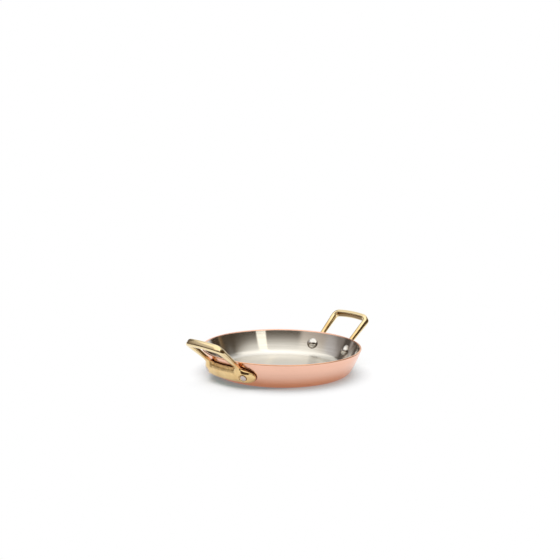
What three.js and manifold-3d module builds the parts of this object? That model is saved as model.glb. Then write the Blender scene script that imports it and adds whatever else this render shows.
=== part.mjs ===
// Round copper baking dish, lined with steel, with a cast brass loop handle riveted to each side.
// Millimetres, +Z up. The origin is the middle of the underside, and the two handles lie along X.

import * as THREE from "three";
import { mergeVertices } from "three/addons/utils/BufferGeometryUtils.js";
import Module from "manifold-3d";

const wasm = await Module();
wasm.setup();

// Dish: two sheets bonded face to face
const rimDiameter = 120;
const dishHeight = 19.6;
const baseDiameter = 92.7; // flat part of the underside
const cornerRadius = 7.6; // outside, between the base and the wall
const wallBowRadius = 120; // the wall curves gently outwards, so that it is steeper at the rim
const copperThickness = 1.25;
const steelThickness = 0.25;
const rimRounding = 0.65; // on the outer edge of the rim
const innerRimRounding = 0.9; // on its inner edge
const linerDrop = 0.75; // from the top of the rim down to the edge of the liner

// Rivets: a domed head inside, a shank through wall and handle, a tail set into the handle's countersink
const rivetHeight = 10.2; // where a rivet's axis crosses the outside of the wall
const rivetSpacing = 35; // between the two rivets of a handle, straight across
const rivetHeadDiameter = 8.8;
const rivetHeadRise = 2.3;
const rivetShankDiameter = 3.6;
const rivetTailDiameter = 4.5;
const rivetTailRise = 0.35; // how far the set tail stands proud of the handle
const countersinkDepth = 1.2;

// Handle: a base strip that follows the wall, and a loop of two arms and a grip bar
const stripThickness = 4.4;
const stripWidth = 11; // up and down the wall
const stripOverhang = 8; // from a rivet's axis to the tip of the strip
const stripEdgeRadius = 3.2; // round the lower front edge
const bevelDepth = 1.7; // of the bevel along the upper front edge
const bevelTilt = THREE.MathUtils.degToRad(38); // from the strip's face
const dropStart = 2.5; // from a rivet's axis, inwards, to where the upper edge starts to come down
const tipDrop = 2.1; // how far the upper edge has come down at the tip
const tipThinning = 0.45; // share of the thickness that is gone at the tip, none at the rivet
const armRootSpacing = 27.6; // between the middles of the two arms, where they leave the strip
const armRootHeight = 8.4; // up the wall from the rivets, where the arms start to lean out
const armFootWidth = 7; // where an arm grows out of the strip
const armRootWidth = 3.2;
const armRootDepth = 3;
const armTopWidth = 3.5;
const armTopDepth = 3.9;
const armDraft = THREE.MathUtils.degToRad(16); // the arms widen towards the outside of the loop
const loopSpacing = 32.8; // between the two corners of the loop, where the middles of arm and bar meet
const loopReach = 18.2; // from the rim out to the corners of the loop
const loopRise = 12.2; // from the rim up to the corners of the loop
const loopCornerSetback = 4.2; // from a corner of the loop to the start of its curve
const bendSetback = 3.2; // the same at the foot of an arm
const barBow = 1.25; // how far the middle of the grip bar bows out past the corners
const barWidth = 4.1; // in the plane of the loop
const barDepth = 5.7; // across the plane of the loop
const barTwist = THREE.MathUtils.degToRad(11); // turns the wide side of the bar up towards the hand
const sectionPower = 2.8; // 2 is an ellipse, more is squarer

// Clearances
const seatGap = 0.3; // handle to wall
const headGap = 0.1; // rivet head to liner
const holeGap = 0.15; // around the rivets, on the radius

// Fineness of the round forms
const dishSegments = 72;
const cornerSteps = 6;
const wallSteps = 4;
const rivetSegments = 24;
const domeSteps = 6;
const stripStations = 11; // along the straight stretch
const stripEndSteps = 7; // round each end
const stripEdgeSteps = 4;
const edgeSteps = 3;
const sectionPoints = 16;
const armStations = 4;
const curveStations = 6;
const barStations = 6;

const wallThickness = copperThickness + steelThickness;
const rimRadius = rimDiameter / 2;
const baseRadius = baseDiameter / 2;

// In section the wall is an arc that touches the corner's arc and ends at the rim. Angles are those of the
// outward normal, and the lean is from the vertical.
const cornerCentre = new THREE.Vector2(baseRadius, cornerRadius);
const cornerToRim = new THREE.Vector2(rimRadius, dishHeight).sub(cornerCentre);
const centreSpacing = wallBowRadius - cornerRadius;
const rimDistance = cornerToRim.length();
const turnToWall = Math.acos(
  (rimDistance ** 2 + centreSpacing ** 2 - wallBowRadius ** 2) / (2 * rimDistance * centreSpacing),
);
const footAngle = cornerToRim.angle() + turnToWall - Math.PI;
const wallCentre = new THREE.Vector2(
  cornerCentre.x - centreSpacing * Math.cos(footAngle),
  cornerCentre.y - centreSpacing * Math.sin(footAngle),
);
const wallAngle = (height, depth) => Math.asin((height - wallCentre.y) / (wallBowRadius - depth));
const wallLean = -wallAngle(rivetHeight, 0);
const rivetRadius = wallCentre.x + wallBowRadius * Math.cos(wallLean);
const rivetAngle = Math.asin(rivetSpacing / 2 / rivetRadius);

// A closed mesh as a solid, for cutting and joining
function solidOf(geometry) {
  const bare = new THREE.BufferGeometry();
  bare.setAttribute("position", geometry.getAttribute("position"));
  bare.setIndex(geometry.getIndex());
  const merged = mergeVertices(bare, 1e-4);
  const corners = [];
  const index = merged.getIndex().array;
  for (let i = 0; i < index.length; i += 3) {
    const [a, b, c] = [index[i], index[i + 1], index[i + 2]];
    if (a !== b && b !== c && c !== a) corners.push(a, b, c);
  }
  return new wasm.Manifold(
    new wasm.Mesh({
      numProp: 3,
      vertProperties: merged.getAttribute("position").array,
      triVerts: new Uint32Array(corners),
    }),
  );
}

function geometryOf(solid) {
  const mesh = solid.getMesh();
  const geometry = new THREE.BufferGeometry();
  geometry.setAttribute("position", new THREE.BufferAttribute(mesh.vertProperties, 3));
  geometry.setIndex(new THREE.BufferAttribute(mesh.triVerts, 1));
  geometry.computeVertexNormals();
  return geometry;
}

// A profile of (radius, height) points turned about Y, cleaned of the doubled points on the axis
function turned(profile, segments) {
  return geometryOf(solidOf(new THREE.LatheGeometry(profile, segments)));
}

function arcPoints(centreX, centreY, radius, from, to, steps) {
  return Array.from({ length: steps + 1 }, (_, i) => {
    const angle = from + ((to - from) * i) / steps;
    return new THREE.Vector2(centreX + radius * Math.cos(angle), centreY + radius * Math.sin(angle));
  });
}

// Dish section at a depth inside the outer face: out along the base, round the corner and up to a height
function dishLine(depth, top) {
  const { x: cornerX, y: cornerY } = cornerCentre;
  const { x: wallX, y: wallY } = wallCentre;
  const topAngle = wallAngle(top, depth);
  const corner = arcPoints(cornerX, cornerY, cornerRadius - depth, -Math.PI / 2, footAngle, cornerSteps);
  const wall = arcPoints(wallX, wallY, wallBowRadius - depth, footAngle, topAngle, wallSteps);
  return [new THREE.Vector2(0, depth), ...corner, ...wall.slice(1)];
}

// The rim's outer edge, rounded between the wall and the top
function outerRim() {
  const rimAngle = wallAngle(dishHeight, 0);
  const setback = rimRounding / Math.tan((Math.PI / 2 + rimAngle) / 2);
  const [x, y] = [rimRadius - setback, dishHeight - rimRounding];
  return arcPoints(x, y, rimRounding, rimAngle, Math.PI / 2, edgeSteps);
}

// Its inner edge, rounded between the top and the inside of the wall
function innerRim() {
  const rimAngle = wallAngle(dishHeight, wallThickness);
  const edge = wallCentre.x + (wallBowRadius - wallThickness) * Math.cos(rimAngle);
  const setback = innerRimRounding / Math.tan((Math.PI / 2 - rimAngle) / 2);
  const [x, y] = [edge + setback, dishHeight - innerRimRounding];
  return arcPoints(x, y, innerRimRounding, Math.PI / 2, Math.PI + rimAngle, edgeSteps);
}

// The copper makes the whole rim, and the liner ends just below it
const linerTop = dishHeight - linerDrop;
const linerInside = dishLine(wallThickness, linerTop).reverse();
const copperProfile = [
  ...dishLine(0, dishHeight).slice(0, -1),
  ...outerRim(),
  ...innerRim(),
  linerInside[0],
  ...dishLine(copperThickness, linerTop).reverse(),
];
const linerProfile = [...dishLine(copperThickness, linerTop), ...linerInside];

// A rivet's own frame: its origin is on the outside of the wall, and +Y points out along its axis
function rivetFrame(angle) {
  const outwards = new THREE.Vector3(
    Math.cos(wallLean) * Math.cos(angle),
    Math.cos(wallLean) * Math.sin(angle),
    -Math.sin(wallLean),
  );
  const turn = new THREE.Quaternion().setFromUnitVectors(new THREE.Vector3(0, 1, 0), outwards);
  const place = new THREE.Vector3(rivetRadius * Math.cos(angle), rivetRadius * Math.sin(angle), rivetHeight);
  return new THREE.Matrix4().compose(place, turn, new THREE.Vector3(1, 1, 1));
}

const stripFace = seatGap + stripThickness; // outer face of the strip, from the wall
const linerRadiusAtRivet = rivetRadius - wallThickness / Math.cos(wallLean);
const headSag = ((rivetHeadDiameter / 2) ** 2 * Math.cos(wallLean)) / (2 * linerRadiusAtRivet);
const headSeat = wallThickness + headSag + headGap; // underside of the head, from the outside of the wall

// A dome of a given base radius and rise as an arc of (radius, height) points, from its top to its edge
function domeLine(baseR, rise, steps) {
  const sphere = (baseR ** 2 + rise ** 2) / (2 * rise);
  const edge = Math.acos((sphere - rise) / sphere);
  return Array.from({ length: steps + 1 }, (_, i) => {
    const angle = (edge * i) / steps;
    return new THREE.Vector2(sphere * Math.sin(angle), sphere * Math.cos(angle) - (sphere - rise));
  });
}

function rivetGeometry() {
  const head = domeLine(rivetHeadDiameter / 2, rivetHeadRise, domeSteps).map(
    (p) => new THREE.Vector2(p.x, -headSeat - p.y),
  );
  const tail = domeLine(rivetTailDiameter / 2, rivetTailRise, edgeSteps).map(
    (p) => new THREE.Vector2(p.x, stripFace + p.y),
  );
  const shank = [
    new THREE.Vector2(rivetShankDiameter / 2, -headSeat),
    new THREE.Vector2(rivetShankDiameter / 2, stripFace - countersinkDepth),
  ];
  return turned([...head, ...shank, ...tail.reverse()], rivetSegments);
}

// What the rivet passes through is cut away, with clearance: a plain hole, or one with a countersink
function plainHole() {
  const radius = rivetShankDiameter / 2 + holeGap;
  const reach = wallThickness + stripThickness;
  const profile = [
    new THREE.Vector2(0, -reach),
    new THREE.Vector2(radius, -reach),
    new THREE.Vector2(radius, reach),
    new THREE.Vector2(0, reach),
  ];
  return turned(profile, rivetSegments);
}

function countersunkHole() {
  const shank = rivetShankDiameter / 2 + holeGap;
  const tail = rivetTailDiameter / 2 + holeGap;
  const mouth = stripFace + stripThickness;
  const profile = [
    new THREE.Vector2(0, -wallThickness),
    new THREE.Vector2(shank, -wallThickness),
    new THREE.Vector2(shank, stripFace - countersinkDepth),
    new THREE.Vector2(tail, stripFace),
    new THREE.Vector2(tail, mouth),
    new THREE.Vector2(0, mouth),
  ];
  return turned(profile, rivetSegments);
}

function cutRivetHoles(solid, hole, handleAngles) {
  for (const handleAngle of handleAngles) {
    for (const side of [-1, 1]) {
      const place = new THREE.Matrix4().makeRotationZ(handleAngle);
      place.multiply(rivetFrame(side * rivetAngle));
      solid = solid.subtract(solidOf(hole.clone().applyMatrix4(place)));
    }
  }
  return solid;
}

// A point by its place on the wall: along it (arc length at the rivets), up from the rivets, and out from it
function wallPoint(along, up, out) {
  const angle = along / rivetRadius;
  const radius = rivetRadius + up * Math.sin(wallLean) + out * Math.cos(wallLean);
  const height = rivetHeight + up * Math.cos(wallLean) - out * Math.sin(wallLean);
  return new THREE.Vector3(radius * Math.cos(angle), radius * Math.sin(angle), height);
}

// Rings of equal length joined one after another, with the given triangles closing the first and the last
function skin(rings, capTriangles) {
  const count = rings[0].length;
  const corners = [];
  for (let r = 0; r + 1 < rings.length; r++) {
    for (let i = 0; i < count; i++) {
      const [a, b] = [r * count + i, r * count + ((i + 1) % count)];
      corners.push(a, b, b + count, a, b + count, a + count);
    }
  }
  const last = (rings.length - 1) * count;
  for (const [a, b, c] of capTriangles) corners.push(a, c, b, last + a, last + b, last + c);
  const geometry = new THREE.BufferGeometry().setFromPoints(rings.flat());
  geometry.setIndex(corners);
  return geometry;
}

// Base strip: a plate with round ends, bent round the wall, its front edge rounded below and bevelled above.
// Past the rivets it thins towards its tips, and its upper edge drops.
// Each ring is its outline at one distance from the wall, and rungs from edge to edge close the two ends.
function stripGeometry() {
  const endRadius = stripWidth / 2;
  const rivetAlong = rivetAngle * rivetRadius;
  const endCentre = rivetAlong + stripOverhang - endRadius;
  const { lerp, smoothstep } = THREE.MathUtils;
  const turn = arcPoints(0, 0, 1, 0, Math.PI / 2, stripEndSteps);
  const right = turn.map((heading) => ({ x: endCentre, heading }));
  const flat = Array.from({ length: stripStations }, (_, i) => {
    const share = (i + 1) / (stripStations + 1);
    return { x: endCentre * (1 - 2 * share), heading: new THREE.Vector2(0, 1) };
  });
  const left = turn.map(({ x, y }) => ({ x: -endCentre, heading: new THREE.Vector2(-x, y) }));
  const upper = [...right, ...flat, ...left.reverse()];
  const inset = (out, rise) => {
    const intoRound = Math.max(out - stripFace + stripEdgeRadius, 0);
    const round = stripEdgeRadius - Math.sqrt(stripEdgeRadius ** 2 - intoRound ** 2);
    const bevel = Math.max(out - stripFace + bevelDepth, 0) / Math.tan(bevelTilt);
    return lerp(round, bevel, smoothstep(rise, -1, 1));
  };
  const placed = (point, out, side) => {
    const radius = endRadius - inset(out, side * point.heading.y);
    const along = point.x + radius * point.heading.x;
    const pastRivet = Math.abs(along) - rivetAlong;
    const dropped = smoothstep(pastRivet, -dropStart, stripOverhang) * tipDrop;
    const thinned = smoothstep(pastRivet, 0, stripOverhang) * tipThinning;
    const up = side * radius * point.heading.y * (1 - dropped / stripWidth) - dropped / 2;
    return wallPoint(along, up, seatGap + (out - seatGap) * (1 - thinned));
  };
  const roundLevels = Array.from({ length: stripEdgeSteps + 1 }, (_, i) => {
    const angle = ((Math.PI / 2) * i) / stripEdgeSteps;
    return stripFace - stripEdgeRadius * (1 - Math.sin(angle));
  });
  const levels = [seatGap, stripFace - bevelDepth, ...roundLevels].sort((a, b) => a - b);
  const rings = levels.map((out) => [
    ...upper.map((point) => placed(point, out, 1)),
    ...upper.slice(1, -1).map((point) => placed(point, out, -1)).reverse(),
  ]);
  const count = rings[0].length;
  const rungs = [];
  for (let i = 0; i < count / 2; i++) {
    const [a, b] = [i, i + 1];
    const [d, c] = [(count - i) % count, (count - i - 1) % count];
    if (a !== d) rungs.push([a, b, d]);
    if (b !== c) rungs.push([b, c, d]);
  }
  return skin(rings, rungs);
}

// Loop: from inside the strip up one arm, across the grip bar and down the other arm
const armAngle = Math.asin(armRootSpacing / 2 / rivetRadius);
const stripMiddle = seatGap + stripThickness / 2;
const armFoot = wallPoint(armAngle * rivetRadius, 0, stripMiddle);
const armBend = wallPoint(armAngle * rivetRadius, armRootHeight, stripMiddle);
const loopCorner = new THREE.Vector3(rimRadius + loopReach, loopSpacing / 2, dishHeight + loopRise);
const armLean = new THREE.Vector2(loopCorner.x - armBend.x, loopCorner.z - armBend.z).angle();
const loopUp = new THREE.Vector3(Math.cos(armLean), 0, Math.sin(armLean)); // up the loop's plane
const loopNormal = new THREE.Vector3(Math.sin(armLean), 0, -Math.cos(armLean)); // out of the plane
const wallNormal = new THREE.Vector3(Math.cos(wallLean), 0, -Math.sin(wallLean));

const mirrorY = new THREE.Vector3(1, -1, 1);

function towards(from, to, distance) {
  return from.clone().lerp(to, distance / from.distanceTo(to));
}

// Half of the loop as stations, from the foot of an arm to the middle of the bar.
// Each has its place, and shares from 0 to 1: how far through the bend, up the arm and into the bar.
// The bar's curve peaks where the tangents of its two ends cross, so that its middle rises by the bow.
function halfLoop() {
  const cornerShare = loopCornerSetback / (loopSpacing / 2);
  const barPeak = new THREE.Vector3(loopCorner.x, 0, loopCorner.z);
  barPeak.addScaledVector(loopUp, (2 * barBow) / (1 + cornerShare));
  const bendStart = towards(armBend, armFoot, bendSetback);
  const bendEnd = towards(armBend, loopCorner, bendSetback);
  const cornerStart = towards(loopCorner, armBend, loopCornerSetback);
  const cornerEnd = loopCorner.clone().lerp(barPeak, cornerShare);
  const otherEnd = cornerEnd.clone().multiply(mirrorY);
  const bend = new THREE.QuadraticBezierCurve3(bendStart, armBend, bendEnd);
  const arm = new THREE.LineCurve3(bendEnd, cornerStart);
  const corner = new THREE.QuadraticBezierCurve3(cornerStart, loopCorner, cornerEnd);
  const bar = new THREE.QuadraticBezierCurve3(cornerEnd, barPeak, otherEnd);
  const stations = [{ place: armFoot, leaning: 0, risen: 0, gripping: 0 }];
  const add = (curve, steps, reach, shares) => {
    for (let i = 0; i < steps; i++) {
      stations.push({ place: curve.getPoint((reach * i) / steps), ...shares(i / steps) });
    }
  };
  add(bend, curveStations, 1, (t) => ({ leaning: t, risen: 0, gripping: 0 }));
  add(arm, armStations, 1, (t) => ({ leaning: 1, risen: t, gripping: 0 }));
  add(corner, curveStations, 1, (t) => ({ leaning: 1, risen: 1, gripping: t }));
  add(bar, barStations / 2, 0.5, () => ({ leaning: 1, risen: 1, gripping: 1 }));
  stations.push({ place: bar.getPoint(0.5), leaning: 1, risen: 1, gripping: 1 });
  return stations;
}

function loopGeometry() {
  const half = halfLoop();
  const mirrored = half.slice(0, -1).map((s) => ({ ...s, place: s.place.clone().multiply(mirrorY) }));
  const stations = [...half, ...mirrored.reverse()];
  const mix = THREE.MathUtils.lerp;
  const rings = stations.map((station, i) => {
    const before = stations[Math.max(i - 1, 0)].place;
    const after = stations[Math.min(i + 1, stations.length - 1)].place;
    const along = after.clone().sub(before).normalize();
    const normal = wallNormal.clone().lerp(loopNormal, station.leaning);
    normal.addScaledVector(along, -normal.dot(along)).normalize();
    const grip = THREE.MathUtils.smoothstep(station.gripping, 0, 1);
    normal.applyAxisAngle(along, -barTwist * grip);
    const across = normal.clone().cross(along);
    const root = mix(armFootWidth, armRootWidth, THREE.MathUtils.smoothstep(station.leaning, 0, 1));
    const width = mix(mix(root, armTopWidth, station.risen), barWidth, grip) / 2;
    const depth = mix(mix(armRootDepth, armTopDepth, station.risen), barDepth, grip) / 2;
    const widening = Math.tan(armDraft) * station.leaning * (1 - grip);
    return Array.from({ length: sectionPoints }, (_, k) => {
      const angle = (2 * Math.PI * (k + 0.5)) / sectionPoints;
      const bulge = (v) => Math.sign(v) * Math.abs(v) ** (2 / sectionPower);
      const out = depth * bulge(Math.sin(angle));
      return station.place
        .clone()
        .addScaledVector(across, (width + out * widening) * bulge(Math.cos(angle)))
        .addScaledVector(normal, out);
    });
  });
  const fan = Array.from({ length: sectionPoints - 2 }, (_, k) => [0, k + 1, k + 2]);
  return skin(rings, fan);
}

function handleGeometry() {
  const casting = solidOf(stripGeometry()).add(solidOf(loopGeometry()));
  return geometryOf(cutRivetHoles(casting, countersunkHole(), [0]));
}

const copper = new THREE.MeshStandardMaterial({ color: 0xdc9a78, metalness: 1, roughness: 0.28 });
const steel = new THREE.MeshStandardMaterial({ color: 0xc9c6bf, metalness: 1, roughness: 0.35 });
const brass = new THREE.MeshStandardMaterial({ color: 0xd9b56a, metalness: 1, roughness: 0.15 });
const rivetSteel = new THREE.MeshStandardMaterial({ color: 0xd0cecb, metalness: 1, roughness: 0.15 });

function part(name, geometry, material) {
  const mesh = new THREE.Mesh(geometry, material);
  mesh.name = name;
  return mesh;
}

// Turned about Z, and cut for the rivets of both handles
function dishSheet(profile) {
  const sheet = turned(profile, dishSegments).rotateX(Math.PI / 2);
  return geometryOf(cutRivetHoles(solidOf(sheet), plainHole(), [0, Math.PI]));
}

const dish = new THREE.Group();
dish.add(part("copper_shell", dishSheet(copperProfile), copper));
dish.add(part("steel_liner", dishSheet(linerProfile), steel));

for (const [side, angle] of [["back", 0], ["front", Math.PI]]) {
  const group = new THREE.Group();
  group.rotation.z = angle;
  group.add(part(`handle_${side}`, handleGeometry(), brass));
  for (const [hand, sign] of [["left", 1], ["right", -1]]) {
    const rivet = part(`rivet_${side}_${hand}`, rivetGeometry(), rivetSteel);
    rivet.applyMatrix4(rivetFrame(sign * rivetAngle));
    group.add(rivet);
  }
  dish.add(group);
}

export default dish;
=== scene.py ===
import bpy
import numpy as np
from mathutils import Matrix, Vector


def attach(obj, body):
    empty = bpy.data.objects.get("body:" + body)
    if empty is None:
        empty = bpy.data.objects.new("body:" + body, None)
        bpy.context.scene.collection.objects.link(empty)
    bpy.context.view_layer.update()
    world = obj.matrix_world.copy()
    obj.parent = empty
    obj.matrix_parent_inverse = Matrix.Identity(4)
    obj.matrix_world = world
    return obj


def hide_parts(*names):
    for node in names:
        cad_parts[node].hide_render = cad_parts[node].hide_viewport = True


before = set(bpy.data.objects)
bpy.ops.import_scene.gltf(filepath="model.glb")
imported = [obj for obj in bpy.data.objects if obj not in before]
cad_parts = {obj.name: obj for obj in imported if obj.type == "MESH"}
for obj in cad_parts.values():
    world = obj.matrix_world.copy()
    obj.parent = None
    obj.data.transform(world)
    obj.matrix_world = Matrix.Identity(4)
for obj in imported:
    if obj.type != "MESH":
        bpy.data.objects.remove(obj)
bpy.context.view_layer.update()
mm = 0.001  # shapes are in millimetres


# socket wrapper: arithmetic on it adds Math nodes to the same tree
class Sock:
    def __init__(self, graph, socket):
        self.graph = graph
        self.socket = socket

    def maths(self, operation, *others):
        return self.graph.node("ShaderNodeMath", {"operation": operation}, dict(enumerate((self, *others))))

    # the same, with this socket as the second input
    def flipped(self, operation, other):
        return self.graph.node("ShaderNodeMath", {"operation": operation}, {0: other, 1: self})

    def __add__(self, other):
        return self.maths("ADD", other)

    def __radd__(self, other):
        return self.flipped("ADD", other)

    def __sub__(self, other):
        return self.maths("SUBTRACT", other)

    def __rsub__(self, other):
        return self.flipped("SUBTRACT", other)

    def __mul__(self, other):
        return self.maths("MULTIPLY", other)

    def __rmul__(self, other):
        return self.flipped("MULTIPLY", other)

    def __truediv__(self, other):
        return self.maths("DIVIDE", other)

    def __rtruediv__(self, other):
        return self.flipped("DIVIDE", other)

    def __pow__(self, other):
        return self.maths("POWER", other)

    # kept between two values
    def clamp(self, low=0.0, high=1.0):
        return self.maths("MAXIMUM", low).maths("MINIMUM", high)

    # 0 below low, 1 above high, smooth between; low may be the larger
    def step(self, low, high):
        inputs = {0: self, 1: low, 2: high, 3: 0.0, 4: 1.0}
        return self.graph.node("ShaderNodeMapRange", {"interpolation_type": "SMOOTHSTEP"}, inputs)


# node tree wrapper, which starts empty
class Graph:
    def __init__(self, tree):
        self.tree = tree
        tree.nodes.clear()

    # any node by type: settings first, then its inputs by name or number; gives one output, wrapped
    def node(self, kind, settings=None, inputs=None, out=0):
        made = self.tree.nodes.new(kind)
        for key, value in (settings or {}).items():
            setattr(made, key, value)
        for key, value in (inputs or {}).items():
            if isinstance(value, Sock):
                self.tree.links.new(value.socket, made.inputs[key])
            else:
                made.inputs[key].default_value = value
        return Sock(self, made.outputs[out]) if len(made.outputs) else made

    # colour a where the factor is 0, b where it is 1
    def mix(self, factor, a, b):
        return self.node("ShaderNodeMix", {"data_type": "RGBA"}, {0: factor, 6: a, 7: b}, 2)

    # the three parts of a vector
    def split(self, vector):
        parts = self.node("ShaderNodeSeparateXYZ", None, {0: vector})
        return [Sock(self, part) for part in parts.socket.node.outputs]

    # a vector of three parts
    def join(self, x, y, z):
        return self.node("ShaderNodeCombineXYZ", None, {0: x, 1: y, 2: z})

    # cloudy values about one half
    def noise(self, vector, scale, detail, rough=0.5):
        inputs = {"Vector": vector, "Scale": scale, "Detail": detail, "Roughness": rough}
        return self.node("ShaderNodeTexNoise", None, inputs)

    # normals tilted by the slope of a height
    def bump(self, height, strength, distance):
        inputs = {"Strength": strength, "Distance": distance, "Height": height}
        return self.node("ShaderNodeBump", None, inputs)


# new material with its empty tree
def newFinish(name):
    made = bpy.data.materials.new(name)
    made.use_nodes = True
    return made, Graph(made.node_tree)


# round the dish's own axis: radius, angle and height in metres from Object coordinates
def aroundAxis(graph):
    place = graph.node("ShaderNodeTexCoord", None, None, 3)
    x, y, z = graph.split(place)
    radius = (x * x + y * y) ** 0.5
    return place, radius, y.maths("ARCTAN2", x), z


# noise drawn out round the axis: by the angle times one value, and the radius and height times another
def turnedNoise(graph, axis, turns, lines, detail):
    _, radius, angle, z = axis
    return graph.noise(graph.join(angle * turns, radius * lines, z * lines), 1.0, detail)


# bare metal from its colour, roughness and normals
def metal(graph, colour, roughness, normal, fixed):
    inputs = {"Base Color": colour, "Roughness": roughness, "Normal": normal, "Metallic": 1.0, **fixed}
    bsdf = graph.node("ShaderNodeBsdfPrincipled", None, inputs)
    graph.node("ShaderNodeOutputMaterial", None, {"Surface": bsdf})


pieces = []  # each piece with its slot


# points in millimetres and faces into a smooth closed object, riding on the one body
def addPiece(name, points, faces, slot, *nodes):
    mesh = bpy.data.meshes.new(name)
    mesh.from_pydata(np.asarray(points, float) * mm, [], faces)
    mesh.validate()
    mesh.polygons.foreach_set("use_smooth", np.ones(len(mesh.polygons), bool))
    made = bpy.data.objects.new(name, mesh)
    bpy.context.scene.collection.objects.link(made)
    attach(made, "root")
    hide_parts(*nodes)
    pieces.append((made, slot))
    print(name, len(mesh.polygons), "faces")


# profile of (radius, height) rows carried round Z; its first and last row lie on the axis and become poles
def lathe(profile, segments):
    inner = profile[1:-1]
    turn = np.arange(segments) * 2 * np.pi / segments
    grid = np.stack([np.outer(inner[:, 0], np.cos(turn)), np.outer(inner[:, 0], np.sin(turn)),
                     np.repeat(inner[:, 1:2], segments, 1)], -1)
    points = np.vstack([grid.reshape(-1, 3), [[0, 0, profile[0, 1]], [0, 0, profile[-1, 1]]]])
    row, col = np.meshgrid(np.arange(len(inner) - 1), np.arange(segments), indexing="ij")
    a, b = row * segments + col, row * segments + (col + 1) % segments
    quads = np.stack([a, b, b + segments, a + segments], -1).reshape(-1, 4).tolist()
    here, onward = np.arange(segments), (np.arange(segments) + 1) % segments
    low, high, top = len(points) - 2, len(points) - 1, (len(inner) - 1) * segments
    fans = np.stack([np.full(segments, low), onward, here], -1).tolist()
    fans += np.stack([np.full(segments, high), top + here, top + onward], -1).tolist()
    return points, quads + fans


# rows along a circle's arc between two angles
def arc(centre, radius, start, end, steps):
    turn = np.linspace(start, end, steps + 1)[:, None]
    return np.array(centre) + radius * np.hstack([np.cos(turn), np.sin(turn)])


# dish: flat base, round corner, gently bowed wall; depth is measured inwards from the outer face
dish = {
    "rimRadius": 59.97, "height": 19.6, "baseRadius": 46.35, "cornerRadius": 7.6, "wallBow": 120.0,
    "copper": 1.25, "steel": 0.25, "rimRounding": 0.65, "innerRounding": 0.9, "linerDrop": 0.75,
    "crisp": 0.04,  # distance of the close rows that keep a corner crisp
    "flatRows": 11, "cornerRows": 18, "wallRows": 14, "outerRows": 12, "innerRows": 10, "segments": 288,
}
wallDepth = dish["copper"] + dish["steel"]
linerTop = dish["height"] - dish["linerDrop"]
cornerCentre = np.array([dish["baseRadius"], dish["cornerRadius"]])


# wall arc: touches the corner arc and passes through the rim, so its centre lies where two circles cross
def wallArc():
    spare = dish["wallBow"] - dish["cornerRadius"]
    toRim = np.array([dish["rimRadius"], dish["height"]]) - cornerCentre
    far = np.hypot(*toRim)
    between = np.arccos((far ** 2 + spare ** 2 - dish["wallBow"] ** 2) / (2 * far * spare))
    foot = np.arctan2(toRim[1], toRim[0]) + between - np.pi
    return foot, cornerCentre - spare * np.array([np.cos(foot), np.sin(foot)])


footTurn, wallCentre = wallArc()


# slope angle of the wall at a height: its sine is the height over the wall's centre, by the radius
def wallTurn(height, depth=0):
    return np.arcsin((height - wallCentre[1]) / (dish["wallBow"] - depth))


rimLean = -wallTurn(dish["height"])


# half section at a depth, from the axis along the base and the corner, up the wall to a height
def dishLine(depth, top=dish["height"]):
    across = np.linspace(0, dish["baseRadius"], dish["flatRows"] + 1)[:-1]
    flat = np.stack([across, np.full(dish["flatRows"], depth)], -1)
    corner = arc(cornerCentre, dish["cornerRadius"] - depth, -np.pi / 2, footTurn, dish["cornerRows"])
    wall = arc(wallCentre, dish["wallBow"] - depth, footTurn, wallTurn(top, depth), dish["wallRows"])
    return np.vstack([flat, corner, wall[1:]])


# rounding between the outer wall and the top of the rim
def outerRim():
    r = dish["rimRounding"]
    back = r / np.tan((np.pi / 2 - rimLean) / 2)
    centre = (dish["rimRadius"] - back, dish["height"] - r)
    return arc(centre, r, -rimLean, np.pi / 2, dish["outerRows"])


# the same on the inner edge, which is obtuse, and down to the edge of the liner
def innerRim():
    r = dish["innerRounding"]
    back = r / np.tan((np.pi / 2 + rimLean) / 2)
    centre = (dishLine(wallDepth)[-1][0] + back, dish["height"] - r)
    curve = arc(centre, r, np.pi / 2, np.pi - rimLean, dish["innerRows"])
    last = [dishLine(wallDepth, top)[-1] for top in (linerTop + dish["crisp"], linerTop)]
    return np.vstack([curve, *last])


# the cut top of the liner, with close rows on both sides that keep its corner crisp
def linerEdge():
    near, far = dishLine(wallDepth, linerTop)[-1], dishLine(dish["copper"], linerTop)[-1]
    beside = near + (far - near) * dish["crisp"] / dish["steel"]
    return np.vstack([far, beside, dishLine(wallDepth, linerTop - dish["crisp"])[-1]])


copperInside = dishLine(dish["copper"], linerTop)[::-1]
copperProfile = np.vstack([dishLine(0)[:-1], outerRim(), innerRim(), copperInside])
linerLow = linerTop - 2 * dish["crisp"]
linerInside = dishLine(wallDepth, linerLow)[::-1]
linerProfile = np.vstack([dishLine(dish["copper"], linerLow), linerEdge(), linerInside])
addPiece("copperShell", *lathe(copperProfile, dish["segments"]), "copper", "copper_shell")
addPiece("steelLiner", *lathe(linerProfile, dish["segments"]), "liner_steel", "steel_liner")

# rivets: domed head inside, shank, tail set flush in the handle
rivet = {
    "height": 10.2, "spacing": 35.0, "head": 8.8, "rise": 2.3, "shank": 3.6, "tail": 4.5, "tailRise": 0.35,
    "sink": 1.2, "headGap": 0.1, "segments": 72,
    "domeShare": 0.93, "domeRows": 15, "brim": 0.1575,  # the dome stops short of the head's upright brim
    "tailEdge": (0.05, 0.12), "capShare": 0.9, "capFall": 0.55, "capRows": 8,  # low cap on the tail
}
wallLean = -wallTurn(rivet["height"])
rivetRadius = wallCentre[0] + dish["wallBow"] * np.cos(wallLean)
rivetAngle = np.arcsin(rivet["spacing"] / 2 / rivetRadius)
rivetAlong = rivetAngle * rivetRadius

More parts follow.
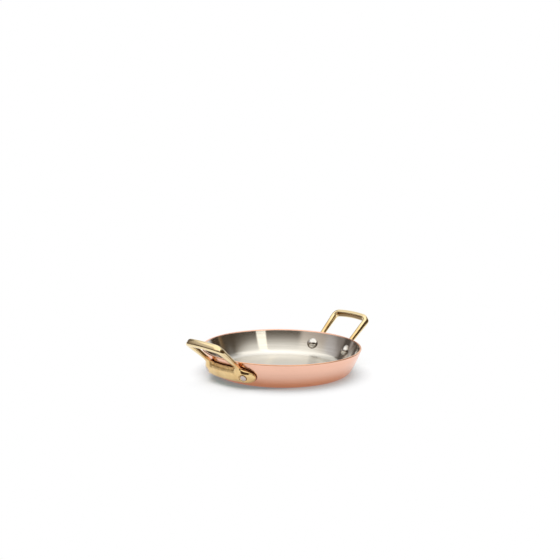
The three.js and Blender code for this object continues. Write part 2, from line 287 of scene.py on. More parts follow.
# handle casting: base strip on the wall, two arms and a grip bar
handle = {
    # strip: plate, roundings of its edges, bevel along its upper edge, lower and thinner tips
    "seatGap": 0.3, "thickness": 4.4, "width": 11.0, "overhang": 8.0,
    "edgeRound": 3.2, "upperRound": 0.7, "backEdge": 0.4,
    "bevelDepth": 1.7, "bevelTilt": np.radians(38), "bevelBlend": (1.8, 0.5), "bevelOnset": 3.0,
    "bevelFade": 3.0,
    "dropStart": 2.5, "tipDrop": 2.1, "tipThin": 0.45,
    # loop: widths and depths of its sections, course of its centre line
    "footSize": (7.0, 3.4), "rootSize": (3.6, 3.4), "topSize": (4.2, 4.6), "barSize": (4.1, 5.7),
    "rootSpacing": 27.6, "rootHeight": 8.4, "bendSetback": 3.2, "cornerSetback": 4.2,
    "loopSpacing": 32.8, "loopReach": 18.2, "loopRise": 12.16, "barBow": 1.25, "barTwist": np.radians(11),
    "roundness": 2.8, "draft": np.tan(np.radians(16)), "stations": 16, "endReach": 0.4, "batch": 40000,
    # both: fillet between them, groove round a rivet tail
    "fillet": 2.6, "recess": 0.55,
}
stripFace = handle["seatGap"] + handle["thickness"]
armAlong = np.arcsin(handle["rootSpacing"] / 2 / rivetRadius) * rivetRadius


# rivet section from the top of the head, along the shank, to the top of the tail; its axis is Z, outwards
def rivetProfile():
    r, rise, shank = rivet["head"] / 2, rivet["rise"], rivet["shank"] / 2
    sag = r ** 2 * np.cos(wallLean) / (2 * (rivetRadius - wallDepth / np.cos(wallLean)))
    seat = -(wallDepth + sag + rivet["headGap"])
    ball = (r ** 2 + rise ** 2) / (2 * rise)
    turn = np.linspace(0, np.arcsin(r / ball) * rivet["domeShare"], rivet["domeRows"])
    dome = np.stack([ball * np.sin(turn), seat - (ball * np.cos(turn) - ball + rise)], -1)
    brim = np.array([[r, seat - rivet["brim"]], [r, seat], [shank, seat]])
    t, (inset, lift) = rivet["tail"] / 2, rivet["tailEdge"]
    tail = np.array([[shank, stripFace - rivet["sink"]], [t, stripFace], [t - inset, stripFace + lift]])
    curve = np.linspace(rivet["capShare"], 0, rivet["capRows"])[:, None]
    cap = np.hstack([t * curve, stripFace + rivet["tailRise"] * (1 - rivet["capFall"] * curve ** 2)])
    return np.vstack([dome, brim, tail, cap])


# matrix of a turn about one axis
def turnAbout(axis, angle):
    return np.array(Matrix.Rotation(angle, 3, axis))


# local Z to the wall's outward normal at that angle round the dish
def rivetPlace(points, angle):
    tilt = turnAbout("Z", angle) @ turnAbout("Y", np.pi / 2 + wallLean)
    start = np.array([rivetRadius * np.cos(angle), rivetRadius * np.sin(angle), rivet["height"]])
    return points @ tilt.T + start


rivetPoints, rivetFaces = lathe(rivetProfile(), rivet["segments"])
for side, around in (("back", 0.0), ("front", np.pi)):
    for hand, sign in (("left", 1), ("right", -1)):
        placed = rivetPlace(rivetPoints, around + sign * rivetAngle)
        name = side + hand.capitalize() + "Rivet"
        addPiece(name, placed, rivetFaces, "rivet_steel", f"rivet_{side}_{hand}")


# wall coordinates of points: along the wall, up it from the rivets, out from it
def onWall(p):
    lean, upright = np.sin(wallLean), np.cos(wallLean)
    radius = np.hypot(p[:, 0], p[:, 1]) - rivetRadius
    rise = p[:, 2] - rivet["height"]
    along = np.arctan2(p[:, 1], p[:, 0]) * rivetRadius
    return along, radius * lean + rise * upright, radius * upright - rise * lean


# the point at such coordinates
def fromWall(along, up, out):
    radius = rivetRadius + up * np.sin(wallLean) + out * np.cos(wallLean)
    return np.array([radius * np.cos(along / rivetRadius), radius * np.sin(along / rivetRadius),
                     rivet["height"] + up * np.cos(wallLean) - out * np.sin(wallLean)])


# 0 to 1 with level ends: three squares less two cubes
def smooth(t):
    t = np.clip(t, 0, 1)
    return t * t * (3 - 2 * t)


# where two half spaces meet, with a rounded edge between them
def rounded(a, b, radius):
    a, b = a + radius, b + radius
    return np.minimum(np.maximum(a, b), 0) + np.hypot(np.maximum(a, 0), np.maximum(b, 0)) - radius


# distance to the strip: a round-ended slot shape along the wall, thickened outwards; past the rivets the
# plate thins towards its tips and its upper edge drops
def stripField(p):
    along, up, out = onWall(p)
    half, gap, tilt = handle["width"] / 2, handle["seatGap"], handle["bevelTilt"]
    pastRivet = np.abs(along) - rivetAlong
    run = handle["overhang"] + handle["dropStart"]
    drop = handle["tipDrop"] * smooth((pastRivet + handle["dropStart"]) / run)
    up = (up + drop / 2) / (1 - drop / handle["width"])
    out = gap + (out - gap) / (1 - handle["tipThin"] * smooth(pastRivet / handle["overhang"]))
    past = np.maximum(pastRivet - handle["overhang"] + half, 0)
    spread = np.hypot(past, up)
    plan = spread - half
    # rounded in front along the lower edge; a small rounding and a bevel along the upper edge
    upper = smooth(up / np.maximum(spread, 1e-6) / 2 + 0.5)
    edge = handle["edgeRound"] + (handle["upperRound"] - handle["edgeRound"]) * upper
    front = rounded(plan, out - stripFace, edge)
    rear = rounded(plan, gap - out, handle["backEdge"])
    bevel = plan * np.sin(tilt) + (out - stripFace + handle["bevelDepth"]) * np.cos(tilt)
    bevel = bevel - handle["bevelOnset"] * (1 - upper) ** 2
    # the bevel is soft between the arms and crisp on the ears
    middle, ear = handle["bevelBlend"]
    width = middle + (ear - middle) * smooth((np.abs(along) - armAlong) / handle["bevelFade"])
    blend = np.maximum(width - np.abs(front - bevel), 0) / width
    front = np.maximum(front, bevel) + blend ** 2 * width / 4
    return np.maximum(front, rear)


# curve from a to c, pulled towards b
def bezier(a, b, c, t):
    t = np.asarray(t)[:, None]
    return (1 - t) ** 2 * a + 2 * t * (1 - t) * b + t ** 2 * c


# the point at a distance from a on the way to b
def towards(a, b, distance):
    return a + (b - a) * distance / np.linalg.norm(b - a)


# one half of the loop's values and the same in reverse, as a column
def mirrored(values):
    return np.concatenate([values, values[-2::-1]])[:, None]


# centre line of the loop with its cross axes and half sizes: foot, bend, arm, corner, bar, and mirrored
def loopLine():
    h = handle
    middle = h["seatGap"] + h["thickness"] / 2
    foot, bend = fromWall(armAlong, 0, middle), fromWall(armAlong, h["rootHeight"], middle)
    reach, rise = dish["rimRadius"] + h["loopReach"], dish["height"] + h["loopRise"]
    corner = np.array([reach, h["loopSpacing"] / 2, rise])
    lean = np.arctan2(corner[2] - bend[2], corner[0] - bend[0])
    upward, outward = np.array([np.cos(lean), 0, np.sin(lean)]), np.array([np.sin(lean), 0, -np.cos(lean)])
    share = h["cornerSetback"] / corner[1]
    peak = corner * [1, 0, 1] + upward * 2 * h["barBow"] / (1 + share)
    bendA, bendB = towards(bend, foot, h["bendSetback"]), towards(bend, corner, h["bendSetback"])
    turnA, turnB = towards(corner, bend, h["cornerSetback"]), corner + (peak - corner) * share
    n = np.linspace(0, 1, h["stations"] + 1)[:-1]
    few = n[::2]
    halfBar = np.linspace(0, 0.5, h["stations"] + 1)
    line = np.vstack([
        foot + (bendA - foot) * few[:, None],
        bezier(bendA, bend, bendB, few),
        bendB + (turnA - bendB) * n[:, None],
        bezier(turnA, corner, turnB, n),
        bezier(turnB, peak, turnB * [1, -1, 1], halfBar),
    ])
    line = np.vstack([line, (line * [1, -1, 1])[-2::-1]])
    # shares along it: leaning away from the wall, risen up an arm, turned into the bar, flared at the foot
    none, full, bar = 0 * n, 1 + 0 * n, 1 + 0 * halfBar
    leaning = mirrored(np.concatenate([0 * few, few, full, full, bar]))
    risen = mirrored(np.concatenate([none, n, full, bar]))
    grip = smooth(mirrored(np.concatenate([none, none, n, bar])))
    flare = smooth(mirrored(np.concatenate([1 - few / 2, 0.5 - few / 2, none, none, 0 * bar])))
    along = np.gradient(line, axis=0)
    along /= np.linalg.norm(along, axis=1, keepdims=True)
    out = np.array([np.cos(wallLean), 0, -np.sin(wallLean)]) * (1 - leaning) + outward * leaning
    out -= along * (out * along).sum(1, keepdims=True)
    out /= np.linalg.norm(out, axis=1, keepdims=True)
    twist = -h["barTwist"] * grip
    out = out * np.cos(twist) + np.cross(along, out) * np.sin(twist)
    size = np.array(h["rootSize"]) * (1 - risen) + np.array(h["topSize"]) * risen
    size = size * (1 - flare) + np.array(h["footSize"]) * flare
    size = (size * (1 - grip) + np.array(h["barSize"]) * grip) / 2
    draft = h["draft"] * leaning * (1 - grip)
    return line, along, out, np.cross(out, along), size, draft


loop = loopLine()


# distance to the loop: a superellipse section at the nearest point of its centre line, level over slope
def loopField(p):
    line, along, out, across, size, draft = loop
    power, batch = handle["roundness"], handle["batch"]
    found = np.empty(len(p))
    for start in range(0, len(p), batch):  # in batches, to save memory
        q = p[start:start + batch]
        gap = (q * q).sum(1)[:, None] - 2 * q @ line.T + (line * line).sum(1)[None]
        near = np.clip(gap.argmin(1), 1, len(line) - 2)
        v = q - line[near]
        # between two stations, the section is read at the exact foot of the point
        slide = (v * along[near]).sum(1) / np.linalg.norm(line[near + 1] - line[near - 1], axis=1) * 2
        other = np.clip(near + np.sign(slide).astype(int), 0, len(line) - 1)
        t = np.clip(np.abs(slide), 0, 1)[:, None]
        centre, o, c, s, widen, ahead = [a[near] * (1 - t) + a[other] * t
                                         for a in (line, out, across, size, draft, along)]
        v = q - centre
        # an arm widens outwards by its draft
        sides, depth = (v * c).sum(1), (v * o).sum(1)
        s = s + np.stack([np.clip(depth, -s[:, 1], s[:, 1]) * widen[:, 0], 0 * depth], 1)
        d = np.abs(np.stack([sides, depth], 1)) / s + 1e-9
        ring = (d ** power).sum(1) ** (1 / power)
        slope = np.linalg.norm((d / ring[:, None]) ** (power - 1) / s, axis=1)
        body = np.maximum((ring - 1) / slope, -s.min(1))
        ends = np.abs((v * ahead).sum(1)) - handle["endReach"]
        found[start:start + batch] = np.maximum(body, ends)
    return found


# one casting: the two fields joined with a fillet and kept off the wall, less a groove round each rivet tail
# and a spot face over it
def castField(p):
    a, b, k = stripField(p), loopField(p), handle["fillet"]
    mixed = np.clip(0.5 + 0.5 * (b - a) / k, 0, 1)
    body = b * (1 - mixed) + a * mixed - k * mixed * (1 - mixed)
    along, up, out = onWall(p)
    body = np.maximum(body, handle["seatGap"] - out)
    recess = handle["recess"]
    ring = np.hypot(np.abs(along) - rivetAlong, up) - rivet["tail"] / 2 - recess / 2
    level = out - stripFace - recess / 4
    groove = np.hypot(ring, level) - recess
    spotFace = np.maximum(ring - recess, -level)
    return np.maximum(body, -np.minimum(groove, spotFace))


# grid for the casting: its box and cell, the block of cells that one coarse sample stands for, the band of
# cells near the surface that is sampled point by point; then slides onto the surface with their probe
casting = {
    "low": np.array([47.0, -29.0, 1.5]), "high": np.array([84.5, 29.0, 38.0]), "cell": 0.23,
    "block": 4, "band": 8, "justInside": 0.001, "slides": 3, "probe": 0.02, "leastSlope": 0.2,
}
corners = [(i, j, k) for i in (0, 1) for j in (0, 1) for k in (0, 1)]


# field on the grid: coarse in each block, exact near the surface
def sampleGrid(field):
    step, block = casting["cell"], casting["block"]
    count = np.ceil((casting["high"] - casting["low"]) / step).astype(int) + 1
    count += (-count) % block
    axes = [casting["low"][i] + step * np.arange(count[i]) for i in range(3)]
    middles = [a[block // 2 - 1::block] + step / 2 for a in axes]
    coarse = np.stack(np.meshgrid(*middles, indexing="ij"), -1)
    value = field(coarse.reshape(-1, 3)).reshape(coarse.shape[:3])
    value = value.repeat(block, 0).repeat(block, 1).repeat(block, 2)
    near = np.abs(value) < step * casting["band"]
    where = np.argwhere(near)
    value[near] = field(np.stack([axes[i][where[:, i]] for i in range(3)], 1))
    return value


# grid points that meet only across a diagonal are joined, so that no edge gets four faces
def joinDiagonals(value):
    for axis in (0, 1, 2, 0, 1, 2):
        u, v = (axis + 1) % 3, (axis + 2) % 3
        inside = value < 0
        beside, above = np.roll(inside, -1, u), np.roll(inside, -1, v)
        crossed = (inside == np.roll(beside, -1, v)) & (beside == above) & (inside != beside)
        crossed = crossed | np.roll(crossed, 1, u)
        crossed = crossed | np.roll(crossed, 1, v)
        value[crossed & ~inside] = -casting["cell"] * casting["justInside"]
    return value


# the grid seen from one corner of every cell
def atCorner(grid, corner):
    return grid[tuple(slice(c, n - 1 + c) for c, n in zip(corner, grid.shape))]


# one point in each crossed cell: the mean of the places where the surface crosses its edges
def cellPoints(value, active):
    place, total = np.zeros((active.sum(), 3)), np.zeros((active.sum(), 1))
    for corner in corners:
        for axis in range(3):
            if corner[axis] == 0:
                onward = tuple(c + (i == axis) for i, c in enumerate(corner))
                a, b = atCorner(value, corner)[active], atCorner(value, onward)[active]
                cross = (a < 0) != (b < 0)
                spot = np.tile(np.array(corner, float), (len(a), 1))
                spot[:, axis] += np.where(cross, a / np.where(cross, a - b, 1), 0)
                place += spot * cross[:, None]
                total += cross[:, None]
    return casting["low"] + casting["cell"] * (np.argwhere(active) + place / total)


# one quad round each crossed edge, facing outwards, from the numbers of the four cells about it
def cellFaces(inside, number):
    faces = []
    for axis in range(3):
        u, v = np.eye(3, dtype=int)[[(axis + 1) % 3, (axis + 2) % 3]]
        a = np.take(inside, range(inside.shape[axis] - 1), axis)
        b = np.take(inside, range(1, inside.shape[axis]), axis)
        at = np.argwhere(a != b)
        at = at[((at @ u) > 0) & ((at @ v) > 0)]
        quad = np.stack([number[tuple(cell.T)] for cell in (at - u - v, at - v, at, at - u)], 1)
        faces.append(np.where(a[tuple(at.T)][:, None], quad, quad[:, ::-1]))
    return np.vstack(faces).tolist()


# every point moved down the field's slope by its distance, a few times
def slideOnto(field, points):
    step, probe = casting["cell"], casting["probe"]
    for _ in range(casting["slides"]):
        d = np.clip(field(points), -step, step)
        slope = np.stack([field(points + e) - field(points - e) for e in np.eye(3) * probe], 1) / (2 * probe)
        points = points - slope * (d / np.maximum((slope ** 2).sum(1), casting["leastSlope"]))[:, None]
    return points


# zero surface of a field: points in the crossed cells, quads between them, the points slid onto the surface
def castSurface(field):
    value = joinDiagonals(sampleGrid(field))
    inside = value < 0
    hits = sum(atCorner(inside, corner).astype(int) for corner in corners)
    active = (hits > 0) & (hits < len(corners))
    number = np.full(active.shape, -1)
    number[active] = np.arange(active.sum())
    return slideOnto(field, cellPoints(value, active)), cellFaces(inside, number)


castPoints, castFaces = castSurface(castField)
addPiece("backHandle", castPoints, castFaces, "brass", "handle_back")
addPiece("frontHandle", castPoints * [-1, -1, 1], castFaces, "brass", "handle_front")


# wall coordinates in a finish, in millimetres: along the wall from a handle's middle, up from the rivets, out
def wallPlace(graph):
    place, radius, _, z = aroundAxis(graph)
    x, y, _ = graph.split(place)
    lean, upright = np.sin(wallLean), np.cos(wallLean)
    along = y.maths("ABSOLUTE").maths("ARCTAN2", x.maths("ABSOLUTE")) * rivetRadius
    past, rise = radius / mm - rivetRadius, z / mm - rivet["height"]
    return along, past * lean + rise * upright, past * upright - rise * lean


# distance along the wall from the nearest rivet's axis
def fromRivet(along, up):
    return ((along - rivetAlong) ** 2.0 + up * up) ** 0.5


# copper: rolled and spun, polished with fine lines round the axis; spans are of heights and radii in metres,
# and in the seam of millimetres
copperLook = {
    "light": (0.95, 0.59, 0.455, 1), "deep": (0.90, 0.52, 0.38, 1),
    "clouds": (26.0, 3.0), "rings": (0.6, 900.0, 3.0), "lines": (2.0, 5200.0, 2.0),
    "cloudShare": 0.7, "ringShare": 0.5, "lessDeep": 0.2,
    "low": (0.90, 0.40, 0.215, 1), "lowShadeSpan": (0.011, 0.0),
    "edge": (0.88, 0.49, 0.31, 1), "edgeHeight": (0.0187, 0.0190), "edgeRadius": (0.0590, 0.0593),
    "seamShade": (0.22, 0.065, 0.035, 1), "seamShadeSpan": (1.0, 0.3), "seamShadeShare": 0.75,
    "rough": 0.15, "ringRough": 0.10, "cloudRough": 0.06, "bump": (0.10, 0.00002),
    "brush": {"Anisotropic": 0.35, "Anisotropic Rotation": 0.25},
}


# clouds and rings between two tones; painted shade: redder low down, browner on the rim's edge, dark in the
# seams
def copperFinish():
    look = copperLook
    made, graph = newFinish("polishedCopper")
    axis = aroundAxis(graph)
    place, radius, _, z = axis
    cloud = graph.noise(place, *look["clouds"])
    rings = turnedNoise(graph, axis, *look["rings"])
    lines = turnedNoise(graph, axis, *look["lines"])
    deep = (cloud * look["cloudShare"] + rings * look["ringShare"] - look["lessDeep"]).clamp()
    colour = graph.mix(deep, look["light"], look["deep"])
    # painted shade: redder and darker low on the wall
    colour = graph.mix(z.step(*look["lowShadeSpan"]), colour, look["low"])
    # painted shade: browner band on the rim's outer top edge
    edge = z.step(*look["edgeHeight"]) * radius.step(*look["edgeRadius"])
    colour = graph.mix(edge, colour, look["edge"])
    # painted shade in the seam round each handle's strip, by the distance from the strip's outline
    along, up, _ = wallPlace(graph)
    half, pastRivet = handle["width"] / 2, along - rivetAlong
    drop = pastRivet.step(-handle["dropStart"], handle["overhang"]) * handle["tipDrop"]
    level = (up + drop / 2) / (1 - drop / handle["width"])
    past = (pastRivet - (handle["overhang"] - half)).maths("MAXIMUM", 0.0)
    seamShade = ((past * past + level * level) ** 0.5 - half).step(*look["seamShadeSpan"])
    colour = graph.mix(seamShade * look["seamShadeShare"], colour, look["seamShade"])
    rough = look["rough"] + look["ringRough"] * rings + look["cloudRough"] * cloud
    metal(graph, colour, rough, graph.bump(lines + rings, *look["bump"]), look["brush"])
    return made


# stainless steel sheet: satin brushed round the axis; spans are of radii in metres
linerLook = {
    "light": (0.80, 0.775, 0.72, 1), "dull": (0.68, 0.655, 0.60, 1), "bright": (0.94, 0.915, 0.865, 1),
    "clouds": (30.0, 3.0), "rings": (0.9, 1500.0, 3.0), "lines": (3.0, 7000.0, 2.0),
    "cloudShare": 0.5, "ringShare": 1.6, "ringMiddle": 0.5, "moreDull": 0.25,
    "floorSpan": (0.038, 0.014), "floorShare": 0.9,
    "sheenTurn": np.radians(45), "sheenFrom": (0.030, 0.042), "sheenTo": (0.0525, 0.0505),
    "rough": 0.095, "ringRough": 0.03, "floorRough": 0.13, "roughSpan": (0.0525, 0.0495),
    "bump": (0.06, 0.00002), "brush": {"Anisotropic": 1.0, "Anisotropic Rotation": 0.25},
}


# clouds and rings between two tones, duller in the middle of the floor, with a painted sheen in the pressed
# corner
def linerFinish():
    look = linerLook
    made, graph = newFinish("brushedLiner")
    axis = aroundAxis(graph)
    place, radius, angle, _ = axis
    cloud = graph.noise(place, *look["clouds"])
    rings = turnedNoise(graph, axis, *look["rings"])
    lines = turnedNoise(graph, axis, *look["lines"])
    dull = cloud * look["cloudShare"] + (rings - look["ringMiddle"]) * look["ringShare"] + look["moreDull"]
    colour = graph.mix(dull.clamp(), look["light"], look["dull"])
    colour = graph.mix(radius.step(*look["floorSpan"]) * look["floorShare"], colour, look["dull"])
    # painted sheen in the pressed corner: brighter at its front and back as seen from the camera, duller at
    # its sides, by the fourth power of the cosine
    across = (angle - look["sheenTurn"]).maths("COSINE") ** 2.0
    sheen = graph.mix(across * across, look["dull"], look["bright"])
    corner = radius.step(*look["sheenFrom"]) * radius.step(*look["sheenTo"])
    colour = graph.mix(corner, colour, sheen)
    # rougher on the floor and in its rounded corner, where a brush reaches worst
    rough = look["rough"] + look["ringRough"] * rings + look["floorRough"] * radius.step(*look["roughSpan"])
    metal(graph, colour, rough, graph.bump(lines + rings, *look["bump"]), look["brush"])
    return made


# cast brass, ground and polished by hand: a slight waviness, fine scuffs; spans are in millimetres
brassLook = {
    "light": (0.86, 0.64, 0.33, 1), "deep": (0.78, 0.54, 0.25, 1), "waveSpan": (0.3, 0.75),
    "waves": (140.0, 2.0), "scuffs": (1500.0, 3.0), "grain": (1100.0, 4.0, 0.65),
    "loop": (0.90, 0.74, 0.45, 1), "loopOut": (5.2, 8.2), "loopShare": 0.9,
    "skin": (0.42, 0.29, 0.14, 1), "skinAlong": (12.6, 11.2), "skinFrom": (2.4, 3.6), "skinTo": (8.0, 7.0),
    "skinGrain": (0.35, 0.65),
    "seamShade": (0.22, 0.10, 0.05, 1), "seamShadeOut": (1.1, 0.5), "seamShadeRing": (0.55, 0.3), "seamShadeUp": (5.0, 4.0),
    "seamShadeShare": 0.85,
    "barShade": (0.18, 0.105, 0.04, 1), "barShadeReach": (78.4, 77.5), "barShadeSide": (14.0, 12.0),
    "barShadeFrom": (28.0, 29.0), "barShadeTo": (34.0, 32.8), "barShadeShare": 0.9,
    "rough": 0.10, "scuffRough": 0.08, "skinRough": 0.34,
    "bump": (0.25, 0.0002), "scuffBump": 0.03, "skinBump": 0.5,
}


# waves between two tones, paler on the loop, painted shade behind the bar, as cast on the strip, painted
# shade in the seams
def brassFinish():
    look = brassLook
    made, graph = newFinish("castBrass")
    place = graph.node("ShaderNodeTexCoord", None, None, 3)
    along, up, out = wallPlace(graph)
    wave = graph.noise(place, *look["waves"])
    scuff = graph.noise(place, *look["scuffs"])
    grain = graph.noise(place, *look["grain"])
    # as cast between the arms on top of the strip, polished elsewhere; painted shade in the seams and round
    # the rivet tails
    skin = along.step(*look["skinAlong"]) * up.step(*look["skinFrom"]) * up.step(*look["skinTo"])
    ring = (fromRivet(along, up) - rivet["tail"] / 2).step(*look["seamShadeRing"]) * up.step(*look["seamShadeUp"])
    seamShade = out.step(*look["seamShadeOut"]).maths("MAXIMUM", ring)
    colour = graph.mix(wave.step(*look["waveSpan"]), look["light"], look["deep"])
    colour = graph.mix(out.step(*look["loopOut"]) * look["loopShare"], colour, look["loop"])
    # painted shade: dark brown on the bar's side towards the dish
    x, y, z = graph.split(place)
    inner = (x.maths("ABSOLUTE") / mm).step(*look["barShadeReach"])
    inner = inner * (y.maths("ABSOLUTE") / mm).step(*look["barShadeSide"])
    inner = inner * (z / mm).step(*look["barShadeFrom"]) * (z / mm).step(*look["barShadeTo"])
    colour = graph.mix(inner * look["barShadeShare"], colour, look["barShade"])
    colour = graph.mix(skin * grain.step(*look["skinGrain"]), colour, look["skin"])
    colour = graph.mix(seamShade * look["seamShadeShare"], colour, look["seamShade"])
    height = wave + look["scuffBump"] * scuff + skin * grain * look["skinBump"]
    rough = look["rough"] + look["scuffRough"] * scuff + look["skinRough"] * skin
    metal(graph, colour, rough, graph.bump(height, *look["bump"]), {})
    return made


# polished steel rivets; the tail by its radius in metres, the head's edge by shares of its radius
rivetLook = {
    "light": (0.80, 0.785, 0.76, 1), "dull": (0.70, 0.685, 0.65, 1), "scuffs": (900.0, 3.0),
    "tail": (0.66, 0.58, 0.55, 1), "tailSpan": (0.0555, 0.0565),
    "edge": (0.24, 0.20, 0.16, 1), "edgeSpan": (0.72, 1.0), "edgeShare": 0.8,
    "rough": 0.10, "scuffRough": 0.10, "tailRough": 0.22, "bump": (0.1, 0.00005),
}


# scuffs between two tones, warmer and rougher on the tail, painted shade towards the head's edge
def rivetFinish():
    look = rivetLook
    made, graph = newFinish("polishedRivet")
    place, radius, _, _ = aroundAxis(graph)
    scuff = graph.noise(place, *look["scuffs"])
    tail = radius.step(*look["tailSpan"])
    colour = graph.mix(scuff, look["light"], look["dull"])
    colour = graph.mix(tail, colour, look["tail"])
    along, up, _ = wallPlace(graph)
    ring = fromRivet(along, up) / (rivet["head"] / 2)
    # painted shade towards the head's edge, where it sits on the liner
    colour = graph.mix(ring.step(*look["edgeSpan"]) * (1 - tail) * look["edgeShare"], colour, look["edge"])
    rough = look["rough"] + look["scuffRough"] * scuff + look["tailRough"] * tail
    metal(graph, colour, rough, graph.bump(scuff, *look["bump"]), {})
    return made


finishes = {
    "copper": copperFinish(),
    "liner_steel": linerFinish(),
    "brass": brassFinish(),
    "rivet_steel": rivetFinish(),
}
for piece, slot in pieces:
    piece.data.materials.append(finishes[slot])
print("finishes:", ", ".join(finishes))

# camera: place and axes from the photo's perspective
view = {
    "place": (-631.314, -622.586, 225.244), "right": (0.704853, -0.709269, 0.010923),
    "up": (0.115097, 0.129548, 0.98487), "lens": 78.228, "sensor": 36.0, "clip": (0.01, 50.0),
}


# camera at its place, with its third axis square to the other two
def addCamera():
    data = bpy.data.cameras.new("photoCamera")
    data.lens, data.sensor_width, data.sensor_fit = view["lens"], view["sensor"], "HORIZONTAL"
    data.clip_start, data.clip_end = view["clip"]
    made = bpy.data.objects.new("photoCamera", data)
    right, up = Vector(view["right"]).normalized(), Vector(view["up"]).normalized()
    axes = Matrix((right, up, right.cross(up))).transposed()
    made.matrix_world = Matrix.Translation(Vector(view["place"]) * mm) @ axes.to_4x4()
    bpy.context.scene.collection.objects.link(made)
    bpy.context.scene.camera = made


addCamera()
print("camera set")


# masks of the rays that the camera sees directly, and of these with the ones seen in a shiny surface
def shownRays(graph):
    path = graph.node("ShaderNodeLightPath").socket.node.outputs
    kinds = ("Camera", "Glossy", "Transmission")
    camera, glossy, through = [Sock(graph, path[f"Is {kind} Ray"]) for kind in kinds]
    return camera, camera.maths("MAXIMUM", glossy).maths("MAXIMUM", through)


white = (1, 1, 1, 1)

# pale floor, white further out: sizes and spans of radii in metres
floorLook = {
    "size": 6.0, "shade": (0.80, 0.82, 0.835, 1), "glow": (0.24, 0.24, 0.24, 1), "whiteSpan": (0.044, 0.088),
    "nearShade": (0.68, 0.83, 0.89, 1), "nearSpan": (0.070, 0.050),
    "coreGlow": (0.06, 0.125, 0.15, 1), "coreStretch": (0.844, 1.139), "coreSpan": (0.054, 0.0465),
    "coreWhite": 0.2,
}


# floor: plain under the lamp, and where it is shown with a glow of its own that fades to white
def addFloor():
    look = floorLook
    made, graph = newFinish("paleFloor")
    place, radius, _, _ = aroundAxis(graph)
    camera, shown = shownRays(graph)
    # a little cooler close to the dish, against the copper's warm glow
    shade = graph.mix(radius.step(*look["nearSpan"]) * camera, look["shade"], look["nearShade"])
    diffuse = graph.node("ShaderNodeBsdfDiffuse", None, {"Color": shade})
    # painted core of the shadow, for the camera alone, longer along the handles
    x, y, _ = graph.split(place)
    core = ((x * look["coreStretch"][0]) ** 2.0 + (y * look["coreStretch"][1]) ** 2.0) ** 0.5
    core = core.step(*look["coreSpan"]) * camera
    glow = graph.mix(core, look["glow"], look["coreGlow"])
    glow = graph.node("ShaderNodeEmission", None, {"Color": glow, "Strength": 1.0})
    bare = graph.node("ShaderNodeEmission", None, {"Color": white, "Strength": 1.0})
    near = graph.node("ShaderNodeAddShader", None, {0: diffuse, 1: glow})
    pale = radius.step(*look["whiteSpan"]) * (1 - core * (1 - look["coreWhite"]))
    far = graph.node("ShaderNodeMixShader", None, {0: pale, 1: near, 2: bare})
    both = graph.node("ShaderNodeMixShader", None, {0: shown, 1: diffuse, 2: far})
    graph.node("ShaderNodeOutputMaterial", None, {"Surface": both})
    half = look["size"] / 2
    mesh = bpy.data.meshes.new("floor")
    square = [(-half, -half, 0), (half, -half, 0), (half, half, 0), (-half, half, 0)]
    mesh.from_pydata(square, [], [(0, 1, 2, 3)])
    mesh.materials.append(made)
    floor = bpy.data.objects.new("floor", mesh)
    bpy.context.scene.collection.objects.link(floor)


addFloor()
print("floor laid")

# room that the metal shows: directions of its front and right side, dim colour, plain fill for the floor
room = {
    "front": (-0.712, -0.702, 0.0), "right": (0.702, -0.712, 0.0), "dim": (0.07, 0.05, 0.033, 1),
    "fill": (0.20, 0.20, 0.20, 1),
}
# oval soft ceiling: half depth and half width over its height, soft edge, colour, warmer towards its edge
ceiling = {
    "half": (1.34, 1.64), "soft": 0.20, "colour": (1.28, 1.25, 1.19, 1),
    "edge": (1.28, 1.08, 0.78, 1), "edgeSpan": (1.0, 1.15), "lowest": 0.02,
}
# soft panels under it and over it: azimuth from the room's front towards its right and elevation, in degrees,
# half sizes, soft edge, colour
panelsUnder = [
    {"name": "leftWall", "at": (-74, 45), "half": (42, 27), "soft": 6, "colour": (0.54, 0.47, 0.42, 1)},
    {"name": "coolLeft", "at": (-96, 30), "half": (18, 10), "soft": 8, "colour": (0.60, 0.585, 0.61, 1)},
    {"name": "lowLeft", "at": (-107, 13), "half": (8, 7), "soft": 5, "colour": (0.25, 0.22, 0.205, 1)},
    {"name": "thinStrip", "at": (109, 8), "half": (2.5, 10), "soft": 4, "colour": (0.24, 0.14, 0.07, 1)},
]
panelsOver = [
    {"name": "backdropLeft", "at": (-180, 10), "half": (18, 60), "soft": 8, "colour": white},
    {"name": "backdropRight", "at": (180, 10), "half": (44, 60), "soft": 8, "colour": white},
    {"name": "dimRight", "at": (114, 38), "half": (20, 12), "soft": 7, "colour": (0.42, 0.41, 0.39, 1)},
    {"name": "dimLeft", "at": (-138, 47), "half": (26, 12), "soft": 8, "colour": (0.88, 0.87, 0.84, 1)},
    {"name": "darkLeft", "at": (-138, 14), "half": (24, 20), "soft": 4, "colour": (0.10, 0.085, 0.075, 1)},
    {"name": "thinLeft", "at": (-133, 6), "half": (3.5, 14), "soft": 3, "colour": (0.40, 0.35, 0.33, 1)},
    {"name": "strip", "at": (34.5, 57), "half": (8, 31), "soft": 1.0, "colour": (1.6, 1.54, 1.38, 1)},
]


# each panel laid over the colour: the product of a soft band of azimuth and one of elevation
def withPanels(graph, azimuth, elevation, colour, panels):
    for panel in panels:
        (turn, rise), (wide, high), soft = panel["at"], panel["half"], panel["soft"]
        across = (azimuth - turn).maths("ABSOLUTE").step(wide + soft, wide - soft)
        upright = (elevation - rise).maths("ABSOLUTE").step(high + soft, high - soft)
        colour = graph.mix(across * upright, colour, panel["colour"])
    return colour


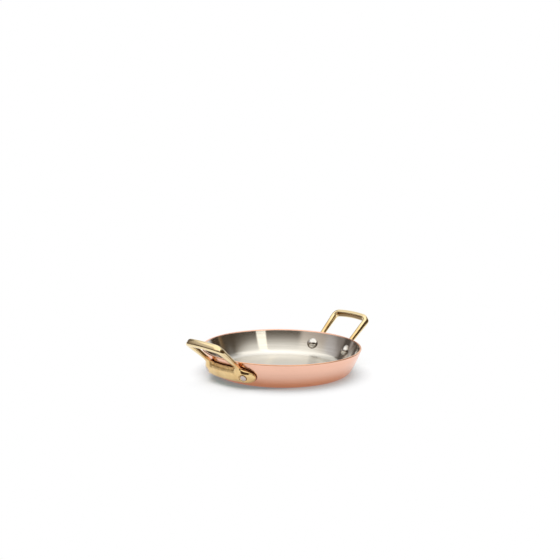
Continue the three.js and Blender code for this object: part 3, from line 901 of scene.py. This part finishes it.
# room by direction: dim, with the ceiling and the panels; white to the camera, plain fill to the floor
def addWorld():
    world = bpy.data.worlds.new("studioRoom")
    world.use_nodes = True
    graph = Graph(world.node_tree)
    direction = graph.node("ShaderNodeTexCoord")
    dot = {"operation": "DOT_PRODUCT"}
    axes = (room["front"], room["right"], (0, 0, 1))
    front, side, up = [graph.node("ShaderNodeVectorMath", dot, {0: direction, 1: axis}, 1) for axis in axes]
    azimuth = side.maths("ARCTAN2", front) * (180 / np.pi)
    elevation = up.clamp(-1, 1).maths("ARCSINE") * (180 / np.pi)
    (deep, wide), soft = ceiling["half"], ceiling["soft"]
    overhead = up.maths("MAXIMUM", ceiling["lowest"])
    ring = ((front / overhead / deep) ** 2.0 + (side / overhead / wide) ** 2.0) ** 0.5
    colour = withPanels(graph, azimuth, elevation, room["dim"], panelsUnder)
    light = graph.mix(ring.step(*ceiling["edgeSpan"]), ceiling["colour"], ceiling["edge"])
    colour = graph.mix(ring.step(1 + soft, 1 - soft), colour, light)
    colour = withPanels(graph, azimuth, elevation, colour, panelsOver)
    camera, shown = shownRays(graph)
    colour = graph.mix(shown, room["fill"], graph.mix(camera, colour, white))
    shade = graph.node("ShaderNodeBackground", None, {"Color": colour, "Strength": 1.0})
    graph.node("ShaderNodeOutputWorld", None, {"Surface": shade})
    bpy.context.scene.world = world


addWorld()

# soft lamp overhead: place and size in metres, power in watts
lamp = {"place": (0.1, 0.1, 1.0), "aim": (0.0, 0.0, 0.0), "size": (1.1, 1.1), "power": 11.0}


# rectangle of light aimed at a point
def addLamp():
    data = bpy.data.lights.new("overheadSoftbox", "AREA")
    data.shape = "RECTANGLE"
    data.size, data.size_y = lamp["size"]
    data.energy = lamp["power"]
    made = bpy.data.objects.new("overheadSoftbox", data)
    made.location = lamp["place"]
    made.rotation_euler = (Vector(lamp["aim"]) - Vector(lamp["place"])).to_track_quat("-Z", "Y").to_euler()
    made.visible_glossy = False  # the metal shows the room's ceiling in its place
    bpy.context.scene.collection.objects.link(made)


addLamp()
bpy.context.scene.view_settings.view_transform = "Standard"
print("studio set")
